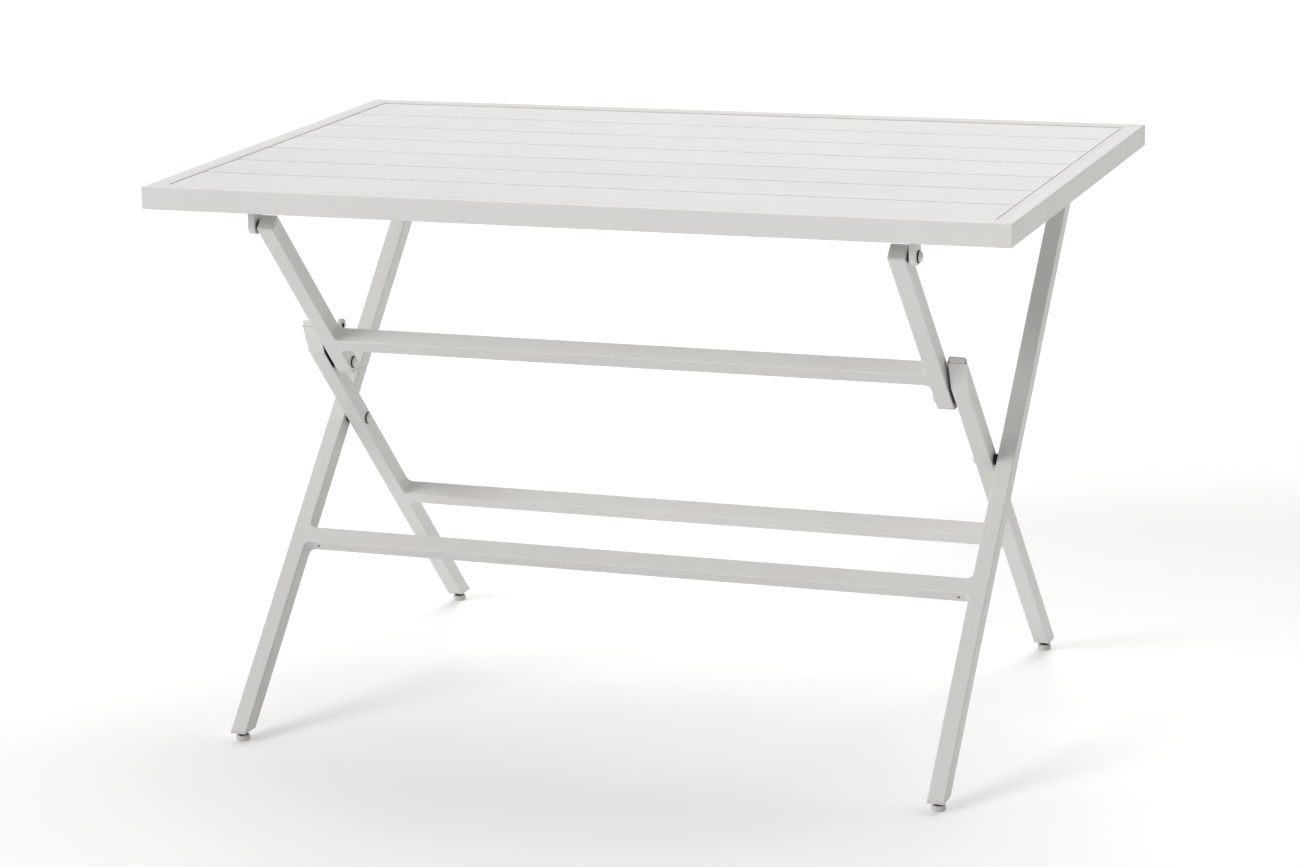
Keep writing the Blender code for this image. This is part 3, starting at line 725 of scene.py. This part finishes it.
def taper_cuts(point, up, top):
    """Planes that bend gently off the front face and then slope straight to the upper end."""
    slope = math.atan2(TAPER_DEPTH, TAPER_LENGTH)
    start = top - TAPER_LENGTH - TAPER_BEND_RADIUS * math.tan(slope / 2)
    centre_out = TUBE / 2 - TAPER_BEND_RADIUS
    along, front = tube_directions(up)
    cuts = []
    for step in range(1, TAPER_BEND_STEPS + 1):
        turn = slope * step / TAPER_BEND_STEPS
        distance = start + TAPER_BEND_RADIUS * math.sin(turn)
        out = centre_out + TAPER_BEND_RADIUS * math.cos(turn)
        normal = along * math.sin(turn) + front * math.cos(turn)
        cuts.append((flat_point(point, up, distance, out), normal))
    return cuts


def make_weldment(name, body, nodes, point, up, bored, tapered):
    """One welded frame: uprights and stretcher flush with each other, seamless at the joints."""
    leg, stretcher = nodes[-2:]
    half_span = box_centre(leg).x
    bar_middle = (box_centre(stretcher).yz - point).dot(up)
    low, high = span_along(leg, point, up)
    bottom = lowest(leg).z
    outline = ladder_outline(half_span, low - CUT_MARGIN, high + CUT_MARGIN, bar_middle)
    bm = slab(outline, -TUBE / 2, TUBE / 2)
    split_ladder(bm, outline)
    bm.transform(lying_along(point, up))
    slice_off(bm, Vector((0, 0, bottom)), Vector((0, 0, -1)))
    slice_off(bm, flat_point(point, up, high), tube_directions(up)[0])
    if tapered:
        for where, normal in taper_cuts(point, up, high):
            slice_off(bm, where, normal)
    soften_sharp(bm)
    cutters = stud_bores(half_span, point, up, bottom) if bored else []
    cutters += drain_holes(half_span, point, up, bar_middle)
    make_piece(name, bm, body, "frame_coat", nodes, cutters=cutters)


def make_frames():
    """The outer and middle leg frames and the inner frame of knee arms."""
    for name, body, stem, stretcher, point, up, bored, tapered in (
        ("front_foot_weldment", "front_foot_frame", "front_foot_leg_", "front_foot_stretcher",
         SCISSOR_PIVOT, FRONT_LEG_UP, True, False),
        ("rear_foot_weldment", "rear_foot_frame", "rear_foot_leg_", "rear_foot_stretcher",
         SCISSOR_PIVOT, REAR_LEG_UP, True, True),
        ("knee_arm_weldment", "knee_arms", "knee_arm_", "arm_stretcher",
         FRONT_PIVOT, REAR_LEG_UP, False, False),
    ):
        nodes = [stem + "left", stem + "right", stretcher]
        make_weldment(name, body, nodes, point, up, bored, tapered)


# ------------------------------------------------------------------ end plugs
def make_level_plug(name, body, x, point, up, tube_end_z, bored):
    """A flange under a level tube end, leaning with the tube."""
    lean = up.x / up.y
    height = PLUG_FLANGE - HAIRLINE
    outline = rounded_rectangle(TUBE, TUBE / up.y)
    bm = slab(outline, -height, 0, PLATE_EDGE_RADIUS)
    bm.transform(Matrix(((1, 0, 0, 0), (0, 1, lean, 0), (0, 0, 1, 0), (0, 0, 0, 1))))
    bm.transform(Matrix.Translation(foot_point(x, point, up, tube_end_z - HAIRLINE)))
    cutters = []
    if bored:
        hole = bar(circle(STUD_BORE_RADIUS), -2 * height, 2 * height)
        hole.transform(Matrix.Translation(foot_point(x, point, up, tube_end_z - PLUG_FLANGE)))
        cutters.append(hole)
    make_piece("plug_" + name, bm, body, "end_plug", [name], cutters=cutters)


def make_square_plug(name, body, x, point, up, distance):
    """A flange over a square-cut tube end."""
    bm = slab(rounded_rectangle(TUBE, TUBE), HAIRLINE, PLUG_FLANGE, PLATE_EDGE_RADIUS)
    along, front = tube_directions(up)
    place = flat_point(point, up, distance)
    place.x = x
    # The plate's own height runs along the tube.
    bm.transform(Matrix.Translation(place) @ turned_to(ACROSS, -front, along))
    make_piece("plug_" + name, bm, body, "end_plug", [name])


def make_tapered_cap(name, body, x, point, up, distance):
    """The cap on a tapered tube end, and a dark strip of painted shade in the seam under it."""
    face_out = TUBE / 2 - TAPER_DEPTH
    height = face_out + TUBE / 2
    corners = [
        (CAP_SEAM, -TUBE / 2, 0),
        (CAP_SEAM + height, -TUBE / 2, CAP_TIP_RADIUS),
        (CAP_SEAM, face_out, 0),
    ]
    bm = slab(filleted(corners), -TUBE / 2, TUBE / 2, CAP_SIDE_RADIUS)
    along, front = tube_directions(up)
    place = flat_point(point, up, distance)
    place.x = x
    stand = Matrix.Translation(place) @ turned_to(along, front, ACROSS)
    bm.transform(stand)
    make_piece("plug_" + name, bm, body, "end_plug", [name])

    low_y = -TUBE / 2 + CAP_SHADE_STRIP_INSET
    high_y = face_out - CAP_SHADE_STRIP_INSET
    outline = [
        (HAIRLINE, low_y),
        (CAP_SEAM - HAIRLINE, low_y),
        (CAP_SEAM - HAIRLINE, high_y),
        (HAIRLINE, high_y),
    ]
    half_width = TUBE / 2 - CAP_SHADE_STRIP_INSET
    bm = bar(outline, -half_width, half_width)
    bm.transform(stand)
    # A dark strip set in the seam under the cap: painted shade in that gap.
    make_piece("cap_shade_strip_" + name, bm, body, "black_plastic", material=SEAM_SHADE_PAINT)


def make_knee_gap_shade(side_name, side):
    """A thin black sheet on the inner face of a rear-foot leg, painted shade in the gap at the
    knee, cut to the leg's tapered end.
    """
    leg = "rear_foot_leg_" + side_name
    top = span_along(leg, SCISSOR_PIVOT, REAR_LEG_UP)[1]
    knee = (KNEE_PIVOT - SCISSOR_PIVOT).length
    low_y = -TUBE / 2 + KNEE_SHADE_INSET
    high_y = TUBE / 2 - KNEE_SHADE_INSET
    outline = [
        (knee - KNEE_SHADE_BELOW_PIVOT, low_y),
        (top, low_y),
        (top, high_y - TAPER_DEPTH),
        (top - TAPER_LENGTH, high_y),
        (knee - KNEE_SHADE_BELOW_PIVOT, high_y),
    ]
    half = KNEE_SHADE_THICKNESS / 2
    bm = slab(outline, -half, half, KNEE_SHADE_RIM_RADIUS, KNEE_SHADE_RIM_STEPS)
    along, front = tube_directions(REAR_LEG_UP)
    x = side * (REAR_LEG_X - TUBE / 2 - HAIRLINE - half)
    place = Matrix.Translation((x, SCISSOR_PIVOT.x, SCISSOR_PIVOT.y))
    bm.transform(place @ turned_to(along, front, ACROSS))
    hole = bar(circle(KNEE_SHADE_HOLE_RADIUS), -KNEE_SHADE_THICKNESS, KNEE_SHADE_THICKNESS)
    hole.transform(facing_x(1, Vector((x, KNEE_PIVOT.x, KNEE_PIVOT.y))))
    # The black plastic here stands for the shade in the narrow gap between arm and leg.
    make_piece("knee_gap_shade_" + side_name, bm, "rear_foot_frame", "black_plastic", cutters=[hole])


def make_plugs():
    """Plugs and caps in every tube end, and the sheets of painted shade in the knee gaps."""
    for side_name, side in SIDES.items():
        make_knee_gap_shade(side_name, side)
        for end, body, up in (
            ("front", "front_foot_frame", FRONT_LEG_UP), ("rear", "rear_foot_frame", REAR_LEG_UP)
        ):
            leg = "%s_foot_leg_%s" % (end, side_name)
            name = "foot_plug_%s_%s" % (end, side_name)
            x = box_centre(leg).x
            make_level_plug(name, body, x, SCISSOR_PIVOT, up, lowest(leg).z, True)
            top = span_along(leg, SCISSOR_PIVOT, up)[1]
            if end == "front":
                name = "leg_top_plug_" + side_name
                make_square_plug(name, body, x, SCISSOR_PIVOT, up, top)
            else:
                name = "rear_leg_top_plug_" + side_name
                make_tapered_cap(name, body, x, SCISSOR_PIVOT, up, top)
        arm = "knee_arm_" + side_name
        x = box_centre(arm).x
        top = span_along(arm, FRONT_PIVOT, REAR_LEG_UP)[1]
        name = "arm_top_plug_" + side_name
        make_square_plug(name, "knee_arms", x, FRONT_PIVOT, REAR_LEG_UP, top)
        name = "arm_lower_plug_" + side_name
        make_level_plug(name, "knee_arms", x, FRONT_PIVOT, REAR_LEG_UP, lowest(arm).z, False)


# ------------------------------------------------------------------ catch lugs
def make_lugs():
    """Round-ended plates behind the arms, each with a hole for the catch."""
    along, front = tube_directions(REAR_LEG_UP)
    back = -front
    stretcher = box_centre("arm_stretcher")
    for side_name, side in SIDES.items():
        node = "catch_lug_" + side_name
        low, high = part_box(node)
        thickness = high.x - low.x
        corners = [v.co for v in frame["nodes"][node].data.vertices]
        reach = max((c - stretcher).dot(back) for c in corners)
        radius = max((c - stretcher).dot(along) for c in corners)
        foot = TUBE / 2 + HAIRLINE
        outline = [(radius, foot)] + arc((0, reach - radius), radius, 0, 180, LUG_STEPS)
        outline.append((-radius, foot))
        bm = slab(outline, -thickness / 2, thickness / 2, PLATE_EDGE_RADIUS)
        centre = Vector(((low.x + high.x) / 2, stretcher.y, stretcher.z))
        stand = Matrix.Translation(centre) @ turned_to(along, back, -ACROSS)
        bm.transform(stand)
        hole = bar(circle(LUG_HOLE_RADIUS, LUG_HOLE_STEPS), -thickness, thickness)
        hole.transform(Matrix.Translation((0, reach - radius, 0)))
        hole.transform(stand)
        make_piece("arm_" + node, bm, "knee_arms", "frame_coat", [node], cutters=[hole])


# ------------------------------------------------------------------ pivots
def head_profile(shank):
    """(radius, height) points of a rivet: a plain shank and a low domed head."""
    profile = [
        (SHANK_RADIUS - SHANK_CHAMFER, 0),
        (SHANK_RADIUS, SHANK_CHAMFER),
        (SHANK_RADIUS, shank),
        (HEAD_RADIUS - HEAD_LIP, shank),
        (HEAD_RADIUS, shank + HEAD_LIP),
        (HEAD_RADIUS, shank + HEAD_RIM_HEIGHT),
    ]
    for i in range(1, DOME_STEPS):
        turn = math.pi / 2 * i / DOME_STEPS
        dome = (HEAD_HEIGHT - HEAD_RIM_HEIGHT) * math.sin(turn)
        profile.append((HEAD_RADIUS * math.cos(turn), shank + HEAD_RIM_HEIGHT + dome))
    return profile


def washer_profile(low, high, inner, outer):
    """(radius, height) points of a flat ring with eased outer rims."""
    return [
        (inner, low),
        (outer - WASHER_LIP, low),
        (outer, low + WASHER_LIP),
        (outer, high - WASHER_LIP),
        (outer - WASHER_LIP, high),
        (inner, high),
    ]


def make_pivot(label, body, point, side, inwards, face_x):
    """One hinge's rivet, its washer between head and metal, and the spacer between the tubes."""
    node = "rivet_" + label
    low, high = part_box(node)
    towards = -side if inwards else side
    head = high.x if towards > 0 else low.x
    tail = low.x if towards > 0 else high.x
    shank = abs(head - tail) - HEAD_HEIGHT
    bm = turned(head_profile(shank))
    bm.transform(facing_x(towards, Vector((tail, point.x, point.y))))
    make_piece("pivot_" + node, bm, body, "rivet_coat", [node])

    underside = head - towards * HEAD_HEIGHT
    half = (abs(underside - face_x) - HAIRLINE) / 2
    profile = washer_profile(-half, half, SHANK_RADIUS + HAIRLINE, WASHER_RADIUS)
    bm = turned(profile, joined=True)
    bm.transform(facing_x(1, Vector(((underside + face_x) / 2, point.x, point.y))))
    make_piece("head_washer_" + label, bm, body, "black_plastic")

    node = "spacer_" + label
    half, _, radius = box_size(node) / 2
    profile = washer_profile(-half, half, SHANK_RADIUS + HAIRLINE, radius)
    bm = turned(profile, joined=True)
    bm.transform(facing_x(1, box_centre(node)))
    make_piece("pivot_" + node, bm, body, "black_plastic", [node])


def make_pivots():
    """The eight hinges, four on each side."""
    for side_name, side in SIDES.items():
        for end, point in (("front", FRONT_PIVOT), ("rear", REAR_PIVOT)):
            label = "%s_%s" % (end, side_name)
            low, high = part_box("bracket_" + label)
            face_x = high.x if side > 0 else low.x
            make_pivot(label, "tabletop", point, side, False, face_x)
        face_x = side * (REAR_LEG_X - TUBE / 2)
        make_pivot("scissor_" + side_name, "rear_foot_frame", SCISSOR_PIVOT, side, True, face_x)
        face_x = side * (ARM_X - TUBE / 2)
        make_pivot("knee_" + side_name, "knee_arms", KNEE_PIVOT, side, True, face_x)


# ------------------------------------------------------------------ levelling feet
def glide_disc(radius, height):
    """A ribbed knob from the ground up, with soft upper and lower rims."""
    levels = [(radius - inset, z, ribbed) for inset, z, ribbed in GLIDE_RIM]
    levels += [(r, height - z, ribbed) for r, z, ribbed in reversed(levels)]
    rings = []
    for r, z, ribbed in levels:
        ring = []
        for i in range(GLIDE_STEPS):
            angle = 2 * math.pi * i / GLIDE_STEPS
            wave = 0.5 - 0.5 * math.cos(GLIDE_RIBS * angle)
            reach = r - GLIDE_RIB_DEPTH * ribbed * wave
            ring.append((reach * math.cos(angle), reach * math.sin(angle), z))
        rings.append(ring)
    return skin(rings)


def threaded_stud(low, high):
    """A screw thread as one surface whose radius winds up the axis."""
    count = int((high - low) / THREAD_PITCH * THREAD_RINGS_PER_TURN)
    rings = []
    for k in range(count + 1):
        z = low + (high - low) * k / count
        ring = []
        for i in range(THREAD_STEPS):
            phase = (z / THREAD_PITCH - i / THREAD_STEPS) % 1.0
            r = STUD_RADIUS - THREAD_DEPTH * abs(2 * phase - 1)
            angle = 2 * math.pi * i / THREAD_STEPS
            ring.append((r * math.cos(angle), r * math.sin(angle), z))
        rings.append(ring)
    return skin(rings)


def make_glides():
    """Each levelling foot: a ribbed knob, a threaded stud and a collar between the two."""
    for end in ("front", "rear"):
        for side_name in SIDES:
            node = "glide_%s_%s" % (end, side_name)
            low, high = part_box(node)
            place = Matrix.Translation(((low.x + high.x) / 2, (low.y + high.y) / 2, low.z))
            radius = (high.x - low.x) / 2
            bm = glide_disc(radius, GLIDE_HEIGHT)
            bm.transform(place)
            make_piece(node + "_knob", bm, node, "glide_plastic", [node], GLIDE_SMOOTH_ANGLE)
            bm = threaded_stud(GLIDE_HEIGHT - HAIRLINE, high.z - low.z)
            bm.transform(place)
            make_piece(node + "_stud", bm, node, "black_plastic", (), GLIDE_SMOOTH_ANGLE)
            collar = washer_profile(0, COLLAR_HEIGHT, COLLAR_BORE_RADIUS, COLLAR_RADIUS)
            bm = turned(collar, joined=True)
            bm.transform(place @ Matrix.Translation((0, 0, GLIDE_HEIGHT + HAIRLINE)))
            make_piece(node + "_collar", bm, node, "black_plastic")


make_rails()
make_mitre_shade_rods()
make_slats()
make_supports()
make_brackets()
make_frames()
make_plugs()
make_lugs()
make_pivots()
make_glides()


# ------------------------------------------------------------------ studio
FLOOR_SIZE = 60.0
FLOOR_GREYS = ((0.71, 0.71, 0.71), (0.73, 0.73, 0.73))
FLOOR_GLOW = 0.22
CAMERA_PLACE = Vector((1.5132, -4.1317, 1.4696))
CAMERA_YAW = -20.35
CAMERA_PITCH = 13.67
CAMERA_ROLL = -1.46
CAMERA_LENS = 97.29
CAMERA_SENSOR = 36.0
CAMERA_SHIFT_Y = -0.03
SKY_STRENGTH = 0.02
# Strength, spread, azimuth, elevation, colour; azimuth 0 shines from the front, 90 from the right.
LIGHTS = {
    "rear_softbox": (1.72, 60, 180, 55, (1.0, 1.0, 1.0)),
    "overhead_softbox": (1.02, 120, 180, 60, (1.0, 1.0, 1.0)),
    "rear_right_panel": (0.38, 30, 120, 20, (1.0, 0.98, 0.86)),
    "left_panel": (0.60, 40, -90, 12, (1.0, 1.0, 1.0)),
    "front_left_key": (1.52, 26, -42, 28, (1.0, 1.0, 1.0)),
    "front_panel": (0.55, 50, 0, 30, (1.0, 1.0, 1.0)),
}
CONTRAST_GAMMA = 0.84


def make_floor():
    """A plain pale studio floor that runs on past the view."""
    bpy.ops.mesh.primitive_plane_add(size=FLOOR_SIZE, location=(0, 0, 0))
    floor = bpy.context.object
    floor.name = "studio_floor"
    material, tree, shader = shader_nodes("studio_floor")
    where = add(tree, "ShaderNodeTexCoord").outputs["Object"]
    cloud = remap(tree, noise(tree, where, scale=1.5, detail=3.0))
    tone = blend_colours(tree, cloud, *FLOOR_GREYS)
    tree.links.new(tone, shader.inputs["Base Color"])
    shader.inputs["Roughness"].default_value = 0.9
    shader.inputs["Specular IOR Level"].default_value = 0.05
    shader.inputs["Emission Color"].default_value = (1.0, 1.0, 1.0, 1.0)
    shader.inputs["Emission Strength"].default_value = FLOOR_GLOW
    floor.data.materials.append(material)


def make_sun(name, strength, spread, azimuth, elevation, colour):
    """A broad, even light from a direction."""
    data = bpy.data.lights.new(name, "SUN")
    data.energy = strength
    data.angle = math.radians(spread)
    data.color = colour
    lamp = bpy.data.objects.new(name, data)
    bpy.context.scene.collection.objects.link(lamp)
    around = math.radians(azimuth)
    rise = math.radians(elevation)
    source = Vector((
        math.sin(around) * math.cos(rise), -math.cos(around) * math.cos(rise), math.sin(rise)
    ))
    lamp.rotation_euler = source.to_track_quat("Z", "Y").to_euler()


def make_world():
    """A faint even fill from all round."""
    world = bpy.data.worlds.new("studio_sky")
    world.use_nodes = True
    sky = world.node_tree.nodes["Background"]
    sky.inputs["Color"].default_value = (1.0, 1.0, 1.0, 1.0)
    sky.inputs["Strength"].default_value = SKY_STRENGTH
    bpy.context.scene.world = world


def make_camera():
    """The photo's viewpoint. Yaw turns it to the right and pitch downwards; roll tips it."""
    yaw = math.radians(CAMERA_YAW)
    pitch = math.radians(CAMERA_PITCH)
    roll = math.radians(CAMERA_ROLL)
    ahead = Vector((
        math.sin(yaw) * math.cos(pitch), math.cos(yaw) * math.cos(pitch), -math.sin(pitch)
    ))
    level_right = Vector((math.cos(yaw), -math.sin(yaw), 0))
    level_up = level_right.cross(ahead)
    right = level_right * math.cos(roll) + level_up * math.sin(roll)
    up = level_up * math.cos(roll) - level_right * math.sin(roll)
    data = bpy.data.cameras.new("photo_camera")
    data.lens = CAMERA_LENS
    data.sensor_width = CAMERA_SENSOR
    data.sensor_fit = "HORIZONTAL"
    data.shift_y = CAMERA_SHIFT_Y
    data.clip_end = 2 * FLOOR_SIZE
    camera = bpy.data.objects.new("photo_camera", data)
    bpy.context.scene.collection.objects.link(camera)
    turn = Matrix((right, up, -ahead)).transposed().to_4x4()
    camera.matrix_world = Matrix.Translation(CAMERA_PLACE) @ turn
    bpy.context.scene.camera = camera


make_floor()
make_world()
for name, light in LIGHTS.items():
    make_sun(name, *light)
make_camera()
bpy.context.scene.view_settings.view_transform = "Standard"
bpy.context.scene.view_settings.gamma = CONTRAST_GAMMA
